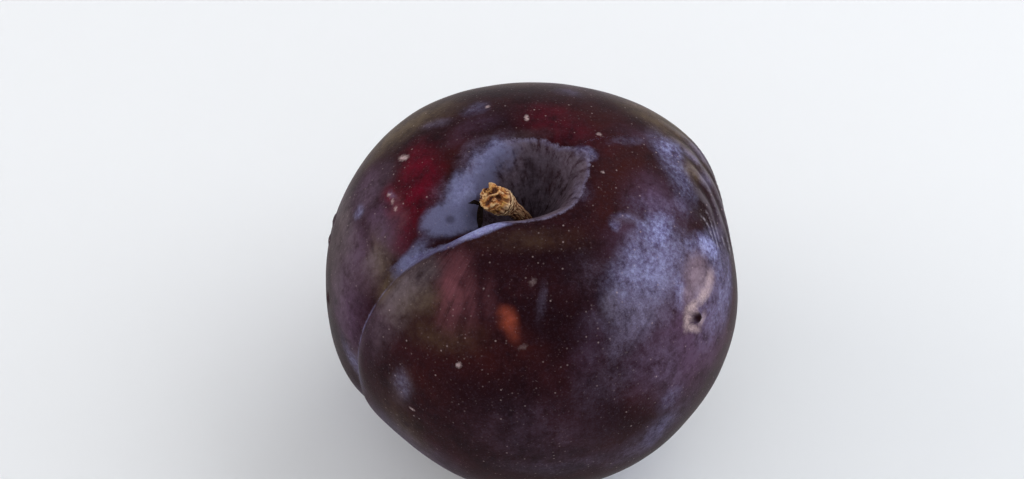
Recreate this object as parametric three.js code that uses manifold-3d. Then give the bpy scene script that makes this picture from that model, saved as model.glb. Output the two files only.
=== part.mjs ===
// A ripe dark plum, as picked: the fruit and the short woody stalk that stayed in its stem cavity.
// Millimetres, +Z up. The origin is on the level surface that the plum rests on, under the middle of its box.
// The fruit's own axis runs from the blossom end to the stalk and leans a little towards -Y, the front.
// On the fruit, a place is a polar angle from the stalk's end and an azimuth from the front, positive
// towards +X.
import * as THREE from "three";
import { mergeVertices } from "three/addons/utils/BufferGeometryUtils.js";
import Module from "manifold-3d";

const { abs, atan2, cos, exp, hypot, max, PI, pow, sin } = Math;
const { degToRad, radToDeg, smoothstep } = THREE.MathUtils;

// ---- The fruit: driving dimensions ----
const HALF_WIDTH = 31.6; // from the axis to a cheek
const HALF_HEIGHT = 28.8; // from the middle to either end, before the cavity is sunk in
const SQUARENESS = 2.25; // 2 is an ellipse, and more fills out the shoulders
const LEAN = degToRad(4); // the axis, off the vertical
const REST_DEPTH = 0.55; // how much of the bottom the small flat spot takes off

// Each swelling or flattening: where its middle is, how far it stands out, and how wide it spreads.
const SWELLINGS = [
  { polar: 66, azimuth: 126, height: 1.6, spread: 24 }, // right shoulder
  { polar: 80, azimuth: 103, height: -1.0, spread: 14 }, // flat below the right shoulder
  { polar: 94, azimuth: 84, height: 0.4, spread: 22 }, // right cheek
  { polar: 55, azimuth: 172, height: -0.1, spread: 22 }, // back
  { polar: 66, azimuth: -132, height: 0.7, spread: 26 }, // back shoulder on the left
  { polar: 78, azimuth: -106, height: 0.2, spread: 24 }, // left shoulder
  { polar: 98, azimuth: -82, height: 0.5, spread: 30 }, // left cheek
  { polar: 115, azimuth: -46, height: -0.9, spread: 17 }, // flat under the front cheek's left
  { polar: 52, azimuth: -10, height: 0.6, spread: 32 }, // front cheek
];

// The stem cavity, a steep funnel that is drawn out towards the suture.
const CAVITY_DEPTH = 11;
const CAVITY_RADIUS = 5.1; // where the funnel is down to a third of its depth
const CAVITY_STEEPNESS = 2.8;
const CAVITY_STRETCH = 1.5;

// The pit in the cavity's floor that the stalk is seated in.
const SEAT_PLACE = new THREE.Vector2(-0.6, -0.9);
const SEAT_DEPTH = 1.7;
const SEAT_RADIUS = 3.2;
const SEAT_STEEPNESS = 4;

// The suture, a groove down one side. The front cheek's bank is steep, and the left cheek's is gentle.
const SUTURE_AZIMUTH = degToRad(-58.5);
const SUTURE_DEPTH = 0.75; // down the side of the fruit
const SUTURE_START = [8, 33]; // degrees from the stalk's end over which it gets that deep
const SUTURE_END = 14; // degrees from the blossom end over which it runs out
const SUTURE_SIDE = [-0.14, 0.57]; // cosine of the turn from it, over which the far side is left alone
const VALLEY_DEPTH = 7.5; // more, where it runs into the cavity
const VALLEY_START = [3, 17]; // degrees from the stalk's end over which the valley begins
const VALLEY_REACH = 32; // degrees from the stalk's end over which it fades
const VALLEY_TURN = degToRad(12.5); // how far it turns to the front as it enters the cavity
const VALLEY_TURN_REACH = 30; // degrees from the stalk's end over which the turn fades
const STEEP_BANK = 1.3;
const STEEP_POWER = 1.8;
const GENTLE_BANK = 2;
const GENTLE_POWER = 1.25;
const VALLEY_BANK = 7.5; // more, on the gentle side, where it runs into the cavity

// The blossom end's dimple.
const DIMPLE_DEPTH = 1;
const DIMPLE_RADIUS = 3.2;

const ENDS_REACH = 30; // degrees beyond the waist over which either end's hollows set in

const FRUIT_SEGMENTS = 72;
const FRUIT_RINGS = 50;
const RING_CROWDING = 0.72; // how much closer the rings lie at both ends
const SEGMENT_CROWDING = 0.6; // how much closer the segments lie at the suture

// ---- The stalk: driving dimensions, in the fruit's frame ----
const STALK_BASE = new THREE.Vector3(-0.85, -1.1, 17.2);
const STALK_BEND = new THREE.Vector3(-1.9, -2, 22.4);
const STALK_TIP = new THREE.Vector3(-6.8, -2.6, 26.5);
// The stalk's radius at shares of its length: a seated foot, a shaft, the swollen joint, the torn end.
const STALK_PROFILE = [
  [0, 0],
  [0, 0.85],
  [0.03, 1.1],
  [0.15, 1.15],
  [0.3, 1.15],
  [0.45, 1.15],
  [0.54, 1.35],
  [0.61, 1.95],
  [0.68, 2.25],
  [0.78, 2.2],
  [0.88, 2.35],
  [0.95, 2.2],
  [0.985, 1.85],
  [1, 1.3],
  [0.985, 0.7],
  [0.97, 0],
];
const STALK_SIDES = 26;
const RIB_COUNT = 7;
const RIB_HEIGHT = 0.07; // as a share of the radius
const RIB_TWIST = 2; // radians from the foot to the torn end

// The dried bud scale that points to the front from under the swollen joint.
const SCALE_ROOT = new THREE.Vector3(-7.5, -3.2, 25.2);
const SCALE_POINT = new THREE.Vector3(-7.95, -6.5, 24.3);
const SCALE_WIDTH = 1;
const SCALE_THICKNESS = 0.55;
const SCALE_TAPER = 0.65; // how much of its width is gone at the point

const JOINED = 1e-3; // vertices closer than this are one

// A unit vector from the fruit's middle towards a place on it.
function direction(polar, azimuth) {
  return new THREE.Vector3(
    sin(polar) * sin(azimuth),
    -sin(polar) * cos(azimuth),
    cos(polar),
  );
}

// How far the smooth body reaches from the fruit's middle, with its swellings.
function bodyRadius(towards, polar) {
  const ends = [sin(polar) / HALF_WIDTH, cos(polar) / HALF_HEIGHT];
  const round = pow(
    ends.reduce((sum, end) => sum + pow(abs(end), SQUARENESS), 0),
    -1 / SQUARENESS,
  );
  return SWELLINGS.reduce((reach, swelling) => {
    const middle = direction(
      degToRad(swelling.polar),
      degToRad(swelling.azimuth),
    );
    const away = radToDeg(towards.angleTo(middle)) / swelling.spread;
    return reach + swelling.height * exp(-away * away);
  }, round);
}

// How far the bottom of the suture is turned from its azimuth, at a polar angle.
function valleyTurn(polar) {
  return VALLEY_TURN * exp(-pow(radToDeg(polar) / VALLEY_TURN_REACH, 3));
}

// How far the suture sinks in at a point of the body.
function sutureSink(point, polar, azimuth) {
  const degrees = radToDeg(polar);
  const turned = azimuth - SUTURE_AZIMUTH - valleyTurn(polar);
  const around = atan2(sin(turned), cos(turned));
  const across = hypot(point.x, point.y) * around;
  const valley = exp(-pow(degrees / VALLEY_REACH, 2));
  const groove = SUTURE_DEPTH * smoothstep(degrees, ...SUTURE_START);
  const depth =
    (VALLEY_DEPTH * valley + groove) *
    smoothstep(degrees, ...VALLEY_START) *
    smoothstep(180 - degrees, 0, SUTURE_END);
  const gentle = VALLEY_BANK * valley + GENTLE_BANK;
  const section =
    across < 0
      ? exp(-pow(-across / gentle, GENTLE_POWER))
      : exp(-pow(across / STEEP_BANK, STEEP_POWER));
  return depth * section * smoothstep(cos(around), ...SUTURE_SIDE);
}

// How far the cavity, its seat and the blossom end's dimple move a point along the fruit's axis.
function endsSink(point, polar) {
  const along =
    point.x * sin(SUTURE_AZIMUTH) - point.y * cos(SUTURE_AZIMUTH);
  const across =
    point.x * cos(SUTURE_AZIMUTH) + point.y * sin(SUTURE_AZIMUTH);
  const drawn = along > 0 ? along / CAVITY_STRETCH : along;
  const out = hypot(point.x, point.y);
  const funnel = exp(-pow(hypot(drawn, across) / CAVITY_RADIUS, CAVITY_STEEPNESS));
  const beside = hypot(point.x - SEAT_PLACE.x, point.y - SEAT_PLACE.y);
  const seat = exp(-pow(beside / SEAT_RADIUS, SEAT_STEEPNESS));
  const dimple = exp(-pow(out / DIMPLE_RADIUS, 2));
  const degrees = radToDeg(polar);
  const top = CAVITY_DEPTH * funnel + SEAT_DEPTH * seat;
  return (
    DIMPLE_DEPTH * dimple * smoothstep(degrees - 90, 0, ENDS_REACH) -
    top * smoothstep(90 - degrees, 0, ENDS_REACH)
  );
}

// The place on the fruit's skin at a polar angle and an azimuth, in the fruit's frame.
function skinPoint(polar, azimuth) {
  const towards = direction(polar, azimuth);
  const point = towards.clone().multiplyScalar(bodyRadius(towards, polar));
  point.addScaledVector(towards, -sutureSink(point, polar, azimuth));
  point.z += endsSink(point, polar);
  return point;
}

// The fruit stands in the part's own frame, because its flat spot is level however the axis leans.
function fruitGeometry(standing) {
  const geometry = new THREE.SphereGeometry(1, FRUIT_SEGMENTS, FRUIT_RINGS);
  const place = geometry.getAttribute("position");
  const uv = geometry.getAttribute("uv");
  for (let i = 0; i < place.count; i += 1) {
    const down = 1 - uv.getY(i);
    const turn = 2 * PI * (uv.getX(i) - 0.5);
    const polar = PI * down - (RING_CROWDING * sin(2 * PI * down)) / 2;
    const azimuth =
      SUTURE_AZIMUTH +
      (valleyTurn(polar) * (1 + cos(turn))) / 2 +
      turn -
      SEGMENT_CROWDING * sin(turn);
    const point = skinPoint(polar, azimuth);
    place.setXYZ(i, point.x, point.y, point.z);
  }
  geometry.rotateX(LEAN);
  geometry.computeBoundingBox();
  const { min: low, max: high } = geometry.boundingBox;
  standing.position.set(
    -(low.x + high.x) / 2,
    -(low.y + high.y) / 2,
    -(low.z + REST_DEPTH),
  );
  geometry.translate(...standing.position.toArray());
  for (let i = 0; i < place.count; i += 1) {
    place.setZ(i, max(place.getZ(i), 0));
  }
  return closed(geometry);
}

// The stalk, turned straight on a lathe, then bent along its curve with ribs down its bark.
function stalkGeometry() {
  const curve = new THREE.QuadraticBezierCurve3(
    STALK_BASE,
    STALK_BEND,
    STALK_TIP,
  );
  const outline = STALK_PROFILE.map(
    ([share, radius]) => new THREE.Vector2(radius, share),
  );
  const geometry = new THREE.LatheGeometry(outline, STALK_SIDES);
  const place = geometry.getAttribute("position");
  const sideways = new THREE.Vector3(0, 1, 0);
  for (let i = 0; i < place.count; i += 1) {
    const share = place.getY(i);
    const angle = atan2(place.getZ(i), place.getX(i));
    const radius = hypot(place.getX(i), place.getZ(i));
    const along = curve.getTangentAt(share);
    const first = new THREE.Vector3().crossVectors(sideways, along).normalize();
    const second = new THREE.Vector3().crossVectors(first, along);
    const ribbed = radius * (1 + RIB_HEIGHT * cos(RIB_COUNT * angle + RIB_TWIST * share));
    const point = curve
      .getPointAt(share)
      .addScaledVector(first, ribbed * cos(angle))
      .addScaledVector(second, ribbed * sin(angle));
    place.setXYZ(i, point.x, point.y, point.z);
  }
  return closed(geometry);
}

// A thin dried scale, widest near its root and pointed at its other end.
function scaleGeometry() {
  const geometry = new THREE.SphereGeometry(0.5, 10, 12);
  const place = geometry.getAttribute("position");
  for (let i = 0; i < place.count; i += 1) {
    const share = 0.5 - place.getY(i);
    const fullness = 1 - SCALE_TAPER * smoothstep(share, 0.4, 1);
    const point = SCALE_ROOT.clone().lerp(SCALE_POINT, share);
    point.x += SCALE_WIDTH * fullness * place.getX(i);
    point.z += SCALE_THICKNESS * fullness * place.getZ(i);
    place.setXYZ(i, point.x, point.y, point.z);
  }
  return closed(geometry);
}

// A geometry whose seams and poles are joined, so that it is one closed skin with smooth normals.
function closed(geometry) {
  const open = new THREE.BufferGeometry();
  open.setAttribute("position", geometry.getAttribute("position"));
  open.setIndex(geometry.getIndex());
  const joined = mergeVertices(open, JOINED);
  joined.computeVertexNormals();
  return joined;
}

// A closed geometry as a solid that can be joined and cut.
function solidFrom(wasm, geometry) {
  return new wasm.Manifold(
    new wasm.Mesh({
      numProp: 3,
      vertProperties: new Float32Array(geometry.getAttribute("position").array),
      triVerts: new Uint32Array(geometry.getIndex().array),
    }),
  );
}

// A solid as a geometry with its normals.
function geometryFrom(solid) {
  const { vertProperties, triVerts } = solid.getMesh();
  const geometry = new THREE.BufferGeometry();
  geometry.setAttribute(
    "position",
    new THREE.BufferAttribute(vertProperties, 3),
  );
  geometry.setIndex(new THREE.BufferAttribute(triVerts, 1));
  geometry.computeVertexNormals();
  return geometry;
}

const skin = new THREE.MeshStandardMaterial({
  color: "#321a24",
  roughness: 0.42,
  metalness: 0,
});
const bark = new THREE.MeshStandardMaterial({
  color: "#8f6234",
  roughness: 0.85,
  metalness: 0,
});

const wasm = await Module();
wasm.setup();

const plum = new THREE.Group();

// The stalk is placed in the fruit's leaning frame.
const standing = new THREE.Group();
standing.rotation.x = LEAN;

const fruit = new THREE.Mesh(fruitGeometry(standing), skin);
fruit.name = "fruit";
plum.add(fruit);

const stalk = new THREE.Mesh(
  geometryFrom(
    solidFrom(wasm, stalkGeometry()).add(solidFrom(wasm, scaleGeometry())),
  ),
  bark,
);
stalk.name = "stalk";
standing.add(stalk);
plum.add(standing);

export default plum;
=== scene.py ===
"""A ripe dark plum with its dry stalk, standing on a plain studio floor.

The fruit's own axis runs from the blossom end to the stalk and leans a little to the front. A place
on the fruit is a polar angle from the stalk's end and an azimuth from the front, positive to the
right, both in degrees in the tables.
"""
from functools import partial, reduce
from math import cos, floor, pi, radians, sin, tan

import bpy
import numpy as np
from bpy.props import FloatProperty, FloatVectorProperty, IntProperty, PointerProperty
from bpy.types import Operator, Panel, PropertyGroup
from mathutils import Matrix, Vector, noise


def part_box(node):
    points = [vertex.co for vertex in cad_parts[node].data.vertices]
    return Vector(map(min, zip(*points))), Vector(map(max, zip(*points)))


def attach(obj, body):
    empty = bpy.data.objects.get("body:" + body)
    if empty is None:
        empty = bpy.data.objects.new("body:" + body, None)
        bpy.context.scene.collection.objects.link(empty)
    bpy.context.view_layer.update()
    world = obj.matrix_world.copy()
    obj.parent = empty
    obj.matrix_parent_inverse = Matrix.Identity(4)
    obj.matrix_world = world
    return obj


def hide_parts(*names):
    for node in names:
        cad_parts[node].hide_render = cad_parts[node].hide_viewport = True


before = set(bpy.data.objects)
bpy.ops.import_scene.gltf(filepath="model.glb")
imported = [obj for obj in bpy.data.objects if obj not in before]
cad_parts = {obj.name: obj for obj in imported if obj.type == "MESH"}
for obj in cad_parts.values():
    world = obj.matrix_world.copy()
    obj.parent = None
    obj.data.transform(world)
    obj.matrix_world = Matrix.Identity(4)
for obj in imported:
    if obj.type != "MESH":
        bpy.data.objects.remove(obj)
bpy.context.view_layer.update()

FRUIT_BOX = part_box("fruit")
MM = 0.001
# The order of the smooth noise that moves the painted edges.
WANDER_SEED = 3
# The size and the reach in mm of each round of that noise.
WANDERS = ((6.0, 1.2), (2.0, 0.5))
# How deep into the fruit a painted mark reaches, and at least a drawn one, in mm.
PAINTED_DEPTH = 4.0
DRAWN_DEPTH = 2.5

bl_info = {
    "name": "Ripe plum",
    "version": (1, 0, 0),
    "blender": (4, 5, 0),
    "location": "3D View > Sidebar > Plum",
    "description": "Models a ripe dark plum with its stalk and lights it on a plain studio floor",
    "category": "Add Mesh",
}

# Each swelling or flattening of the body: polar angle, azimuth, height in mm, spread in degrees.
SWELLINGS = {
    "right shoulder": (66, 126, 1.6, 24),
    "flat below the right shoulder": (80, 103, -1.0, 14),
    "right cheek": (94, 84, 0.4, 22),
    "back": (55, 172, -0.1, 22),
    "back shoulder on the left": (66, -132, 0.7, 26),
    "left shoulder": (78, -106, 0.2, 24),
    "left cheek": (98, -82, 0.5, 30),
    "flat under the front cheek's left": (115, -46, -0.9, 17),
    "front cheek": (52, -10, 0.6, 32),
}

# Marks on the skin, by the colour they have: polar angle, azimuth, half length and half width in
# mm, turn (0 runs round the fruit, 90 from end to end), softness of the edge, and strength.
MARKS = {
    "shade": {
        "front of the cavity": (26, 12, 7.8, 2.7, -4, 1, 0.8),
        "middle": (47, 8, 6.1, 3.5, -7, 0.9, 0.95),
        "beside the cloud": (47, 27, 3.7, 1.7, 70, 0.9, 0.75),
        "below the cloud": (62, 29, 3.8, 1.0, -13, 0.9, 0.3),
        "foot": (78, 25, 6.9, 4.1, -56, 1, 0.7),
        "lower left": (65, -15, 7.0, 3.4, 19, 1, 0.5),
        "above the lip": (34, 30, 3.0, 2.7, 47, 1, 0.15),
        "behind the cavity": (24, -150, 5.7, 2.8, -20, 0.9, 0.85),
        "in the folds": (52, 92, 2.3, 2.1, -60, 0.8, 0.7),
        "crease by the scar": (50, 54, 2.3, 0.6, 58, 0.8, 0.6),
        "right of the lip": (36, 41, 3.5, 2.0, 3, 1, 0.5),
        "under the cloud": (49, 32, 1.9, 1.0, -52, 0.9, 0.3),
        "back": (70, -150, 16, 8, 0, 1, 0.7),
    },
    "red_brown": {
        "beside the cavity": (26, 99, 8.3, 3.3, -21, 1, 0.9),
        "corner of the cavity": (22, 69, 3.8, 2.1, 17, 1, 0.8),
        "front of the cavity": (23, 19, 6.1, 1.4, -11, 0.9, 0.35),
        "left of the cavity": (26, -115, 4.4, 2.7, 13, 0.9, 0.7),
        "left front": (55, -21, 7.6, 3.6, 12, 1, 0.7),
        "middle": (50, -5, 3.7, 1.8, -16, 0.9, 0.8),
        "lower right": (72, 31, 6.5, 2.1, -51, 1, 0.6),
        "right of the top": (31, 141, 4.9, 2.8, 17, 1, 0.7),
        "left, low": (69, -32, 3.5, 3.4, -56, 1, 0.6),
        "cavity wall": (8, 142, 2.1, 1.3, -79, 0.8, 0.9),
        "underside": (130, 120, 12, 8, 30, 0.9, 0.6),
        "back": (84, -168, 16, 9, 0, 1, 0.6),
    },
    # Olive skin, with painted light: the rim marks are painted reflection of the bright
    # surroundings, and the marks left of and by the suture are painted sheen of the light from the
    # left.
    "olive": {
        "left of the suture": (52, -69, 4.0, 2.9, -48, 0.9, 0.8),
        "by the suture": (54, -59, 2.6, 1.7, 84, 0.9, 0.8),
        "front cheek": (50, -43, 4.8, 2.0, 46, 0.9, 0.5),
        "below the pink": (54, -31, 5.1, 1.9, 18, 1, 0.3),
        "in front of the cavity": (22, -2, 6.4, 1.4, 2, 1, 0.2),
        "rim, top left": (51, -127, 7.1, 3.4, -41, 1, 0.9),
        "rim, top right": (49, 132, 5.5, 2.6, -5, 1, 0.6),
        "rim, lower left": (96, -36, 6.3, 3.0, -69, 0.9, 0.3),
        "in the folds": (50, 106, 2.0, 1.8, -56, 0.8, 0.8),
        "back": (60, 180, 22, 6, 0, 0.9, 0.7),
        "back left": (62, -135, 14, 5, 0, 0.9, 0.7),
        "back right": (54, 136, 12, 4.5, 0, 0.9, 0.7),
        "blossom end": (168, 0, 9, 8, 0, 0.9, 0.7),
    },
    "purple": {
        "left shoulder": (47, -79, 4.5, 2.6, 12, 0.9, 0.85),
        "left edge": (70, -69, 7.1, 4.2, -54, 0.9, 0.75),
        "left flank": (58, -76, 5.7, 3.0, -5, 0.9, 0.75),
        "lower left": (65, -53, 5.9, 2.6, 83, 1, 0.35),
        "right shoulder": (36, 83, 3.8, 3.3, 49, 0.9, 0.75),
        "right cheek": (68, 56, 9.5, 8.0, 76, 0.9, 0.9),
        "right foot": (67, 40, 4.1, 4.0, 43, 0.9, 0.6),
        "front right": (53, 19, 4.4, 2.1, 69, 1, 0.2),
        "below the shelf": (36, 59, 4.4, 3.0, -37, 1, 0.5),
        "top right": (38, 123, 4.0, 1.4, 54, 0.9, 0.2),
        "top left": (27, -136, 3.8, 1.9, -5, 1, 0.3),
        "left, high": (52, -98, 4.2, 3.3, 43, 1, 0.7),
        "between the shelf and the band": (38, 82, 3.7, 2.2, -73, 0.8, 0.6),
        "back cheek": (95, 170, 16, 9, 20, 0.9, 0.7),
        "back left cheek": (88, -120, 12, 14, 0, 1, 0.6),
    },
    "crimson": {
        "upper left": (35, -102, 4.4, 2.8, 33, 0.9, 0.7),
        "left": (35, -86, 4.4, 3.0, -2, 0.9, 0.65),
        "left foot": (39, -73, 3.3, 2.3, -34, 0.9, 0.45),
        "far left": (42, -86, 3.0, 1.8, 11, 0.9, 0.6),
        "behind the cavity": (21, 157, 5.9, 2.7, -2, 0.9, 0.3),
        "top": (25, 172, 3.6, 2.1, 13, 0.9, 0.35),
        "back": (72, 178, 8, 5, 10, 1, 0.5),
    },
    "pink": {
        "front": (42, -34, 4.3, 2.0, -64, 0.9, 0.8),
        "front right": (42, -25, 4.3, 1.2, -70, 0.9, 0.4),
        "front top": (36, -36, 2.4, 2.1, -40, 0.9, 0.6),
        "towards the spot": (41, -17, 3.1, 1.2, -77, 0.9, 0.25),
        "far left": (42, -84, 2.0, 1.0, -14, 0.9, 0.4),
        "far left, low": (41, -76, 1.2, 0.7, -37, 0.9, 0.3),
    },
    "orange": {
        "spot": (45, -9, 1.7, 1.0, -65, 1, 0.85),
        "foot": (47, -7, 0.7, 0.7, 3, 1, 0.5),
        "head": (43, -11, 0.9, 0.5, 8, 1, 0.45),
    },
    # Thin rosy wax, and painted sheen of the warm light from the left: below the suture and the lip
    # and on the olive patch; the marks on the left rim and edge are painted reflection.
    "dusk": {
        "below the suture": (51, -50, 4.3, 2.9, 79, 0.9, 0.42),
        "below the lip": (44, -48, 3.1, 1.5, 70, 0.9, 0.32),
        "low, by the suture": (62, -50, 4.6, 1.9, -89, 0.9, 0.16),
        "olive patch": (54, -68, 2.6, 2.0, 73, 0.9, 0.3),
        "left shoulder": (49, -76, 2.7, 1.9, 1, 1, 0.12),
        "lower left": (75, -38, 3.0, 1.6, -89, 0.9, 0.2),
        "left, by the suture": (87, -60, 4.0, 2.8, -50, 0.9, 0.2),
        "rim, left": (67, -85, 7.7, 2.6, -19, 1, 0.25),
        "above the cavity": (16, -166, 4.5, 1.0, -8, 0.9, 0.1),
        "left edge": (63, -90, 6.9, 2.6, 15, 1, 0.35),
        "upper left": (50, -97, 3.6, 3.1, -50, 1, 0.1),
        "left": (61, -75, 4.0, 2.8, -15, 1, 0.14),
        "cloud, left": (44, 32, 2.0, 1.2, 42, 0.9, 0.25),
    },
    # Thin grey wax, with painted light in it: the cloud marks on the right are partly painted sheen
    # of the key light, and the marks on the rims and the lower front are painted reflection.
    "haze": {
        "cloud": (44, 54, 6.6, 3.9, -10, 0.8, 0.7),
        "cloud, low": (48, 40, 5.6, 3.6, 35, 0.9, 0.7),
        "cloud, right": (52, 50, 4.4, 2.7, 8, 0.9, 0.35),
        "cloud, foot": (53, 31, 2.9, 1.8, 48, 0.9, 0.4),
        "front": (50, 18, 4.4, 1.4, 72, 0.9, 0.04),
        "front, low": (67, 16, 6.0, 2.2, 82, 1, 0.08),
        "foot": (79, 3, 8.9, 5.1, -8, 1, 0.08),
        "rim, low right": (95, 35, 6.9, 3.4, 19, 0.9, 0.2),
        "rim, low": (94, 11, 9.1, 2.3, -2, 1, 0.12),
        "left of the cavity": (20, -116, 2.5, 1.5, -10, 0.9, 0.22),
        "right edge": (66, 77, 9.1, 2.9, 15, 1, 0.3),
        "right cheek": (66, 66, 4.5, 4.3, 32, 1, 0.3),
        "streak": (40, 3, 2.3, 0.6, 81, 0.9, 0.14),
        "wing, upper left": (28, -82, 2.1, 1.6, -57, 0.9, 0.12),
        "fold": (53, 114, 1.8, 0.8, 58, 0.7, 0.6),
        "fold, low": (56, 105, 1.7, 1.5, -60, 0.8, 0.55),
        "fold, high": (62, 119, 3.0, 1.9, -87, 0.8, 0.4),
        "shelf": (31, 64, 2.6, 0.8, -59, 0.8, 0.28),
        "lower right": (64, 25, 4.7, 3.2, 3, 1, 0.13),
        "right, below the scar": (68, 40, 4.9, 4.1, 88, 1, 0.16),
        "patch, low": (58, 28, 2.0, 0.8, 27, 0.8, 0.14),
        "patch, lower": (65, 21, 2.0, 0.8, -32, 0.8, 0.12),
        "above the middle": (35, 28, 2.7, 2.3, -10, 1, 0.09),
        "patch, middle": (47, 22, 1.6, 0.9, 62, 0.8, 0.13),
        "patch, centre low": (55, 20, 1.5, 1.0, 59, 0.8, 0.09),
        "back smear": (41.4, 165.8, 1.9, 1.5, 18, 0.9, 0.25),
        "back left smear": (38, -130.8, 1.6, 1.2, 136, 0.9, 0.2),
        "back": (72, 160, 17, 11, 25, 1, 0.45),
        "back left": (97, -128, 15, 9, -35, 1, 0.5),
        "underside": (128, -60, 16, 9, 40, 1, 0.5),
    },
    "sheet": {
        "wing, high": (15, -120, 4.1, 2.0, -26, 0.7, 0.7),
        "wing": (21, -85, 3.3, 2.1, -69, 0.7, 0.85),
        "wing, middle": (16, -102, 2.6, 2.2, -70, 0.7, 0.8),
        "wing, hollow": (27, -66, 5.1, 2.7, 82, 0.5, 1),
        "wing, low": (34, -61, 2.9, 1.0, -81, 0.8, 0.22),
        "wing, foot": (44, -60, 3.3, 1.1, -89, 0.8, 0.7),
        "cavity, left": (12, -141, 3.0, 1.7, 26, 0.9, 0.45),
    },
    # Thick blue wax, partly painted sheen of the key light on the right cloud, and painted
    # reflection along the right rim and edge.
    "bloom_and_sheen": {
        "wing, high": (16, -123, 3.6, 1.2, -19, 0.9, 0.25),
        "wing": (21, -86, 2.3, 1.3, -68, 0.9, 0.35),
        "rim of the cavity": (17, 120, 1.1, 0.9, -73, 0.7, 0.3),
        "wall of the cavity": (13, 72, 2.3, 1.4, 13, 0.8, 0.1),
        "cloud": (37, 50, 1.8, 1.2, 6, 1, 0.4),
        "high cloud": (39, 70, 3.2, 1.6, -18, 1, 0.8),
        "between the clouds": (42, 54, 5.8, 3.0, -7, 1, 0.5),
        "end of the shelf": (35, 66, 1.0, 0.8, -40, 0.8, 0.45),
        "band": (44, 106, 5.3, 2.0, 9, 0.9, 0.3),
        "band, top": (45, 115, 2.5, 1.6, -60, 0.8, 0.55),
        "band, foot": (46, 94, 2.1, 1.8, 25, 0.9, 0.2),
        "blue": (57, 79, 2.7, 1.5, -64, 0.8, 0.85),
        "beside the blue": (51, 75, 2.1, 1.2, -46, 0.9, 0.3),
        "right shoulder": (38, 81, 4.6, 1.9, -67, 1, 0.12),
        "streak behind": (33, 121, 2.9, 0.6, 86, 0.9, 0.12),
        "right edge": (68, 71, 5.1, 1.8, 31, 1, 0.25),
        "lower right": (81, 41, 2.3, 1.9, 50, 0.8, 0.14),
        "lower right rim": (94, 38, 3.1, 2.2, 66, 0.9, 0.14),
        "scar, left": (53, 58, 2.3, 1.2, 58, 0.9, 0.4),
        "lower left": (74, -38, 2.1, 1.1, -71, 0.9, 0.15),
        "left, by the suture": (87, -60, 3.3, 1.5, -43, 0.9, 0.25),
        "smear on the left": (54, -91, 1.3, 0.9, 54, 0.8, 0.3),
        "smear at the back": (35, -148, 1.6, 1.3, 11, 0.9, 0.15),
        "dots on the left": (42, -88, 1.2, 0.5, 14, 0.6, 0.15),
        "beside the stalk": (19, -85, 1.1, 1.0, -71, 0.9, 0.4),
        "shelf, left": (28, 56, 1.0, 0.5, 88, 0.8, 0.3),
        "right cheek": (67, 65, 4.5, 3.6, 46, 1, 0.14),
        "right edge, high": (62, 77, 3.2, 1.9, 64, 1, 0.3),
        "right rim": (71, 74, 4.5, 2.1, 31, 0.9, 0.22),
        "edge, blue": (59, 85, 2.5, 1.3, -54, 1, 0.35),
        "cloud, middle": (42, 62, 2.2, 1.4, -20, 1, 0.5),
        "shelf, edge": (30, 64, 2.1, 0.3, -64, 0.7, 0.2),
        "shoulder, blue": (45, 88, 1.8, 1.6, 23, 0.9, 0.16),
        "band, middle": (44, 105, 2.2, 1.6, 14, 0.9, 0.2),
        "back cheek": (77, 154, 10, 5, 35, 1, 0.6),
        "back cheek, low": (98, 171, 7, 4, -10, 1, 0.4),
        "back left": (104, -122, 9, 4, -40, 1, 0.4),
        "underside": (140, 40, 9, 6, 10, 1, 0.6),
        "underside, left": (122, -85, 8, 5, 70, 1, 0.5),
    },
    "scar": {
        "inside": (55, 68, 2.9, 1.8, -3, 0.9, 0.42),
        "inside, low": (57, 60, 1.6, 1.3, -31, 0.9, 0.35),
        "right": (60, 69, 2.2, 1.1, -6, 0.9, 0.5),
    },
    "wrinkles": {
        "fine": (58, 87, 2.5, 1.6, 62, 0.9, 0.9),
        "right edge": (70, 90, 3.4, 1.6, -69, 0.9, 0.8),
    },
    "cork": {
        "scar, head": (61, 69, 1.6, 0.9, 12, 0.95, 0.45),
        "scar, neck": (61.4, 64.2, 2, 0.8, -12, 0.95, 0.7),
        "scar, bend": (60.4, 58, 1.5, 0.75, -15, 0.95, 0.78),
        "scar, left of the hole": (61.9, 54, 1.3, 0.7, 50, 0.95, 0.75),
        "scar, foot": (65.3, 54.7, 1.5, 0.5, -53, 0.95, 0.7),
        "scar, right of the hole": (66.2, 59.2, 1, 0.5, 20, 0.95, 0.45),
        "scar, inside": (58.4, 64.5, 2.6, 1.7, -1, 0.95, 0.12),
        "speck, left shoulder": (41.1, -108.5, 0.8, 0.5, 80, 0.7, 0.8),
        "speck, behind the cavity": (22.2, -174, 0.6, 0.28, 90, 0.7, 0.75),
        "speck, left": (43.1, -90.3, 0.4, 0.28, 67, 0.7, 0.6),
        "speck, left, middle": (42, -86.2, 0.5, 0.26, 10, 0.7, 0.5),
        "speck, left, low": (41.3, -82, 0.35, 0.26, 0, 0.7, 0.6),
        "speck, front": (59.3, -22.2, 0.42, 0.4, 0, 0.6, 0.7),
        "speck, back left": (32.3, -154.3, 0.35, 0.25, 30, 0.7, 0.6),
        "speck, right": (20.1, 95.3, 0.22, 0.22, 0, 0.7, 0.6),
        "speck, back right": (25.6, 131.8, 0.35, 0.28, 0, 0.7, 0.5),
        "speck, lower left": (80.8, -34, 0.4, 0.25, -22, 0.7, 0.7),
        "speck, by the lip": (34.2, 0, 0.5, 0.4, 40, 0.8, 0.2),
        "speck, by the spot": (51, -3, 0.6, 0.3, 20, 0.9, 0.15),
    },
    # Drawn over everything: painted shade in the scar's hole and along the creases; and a dark spot
    # in the hollow, darker blotches on the cavity's wall and a dark slit on the left.
    "dark": {
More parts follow.
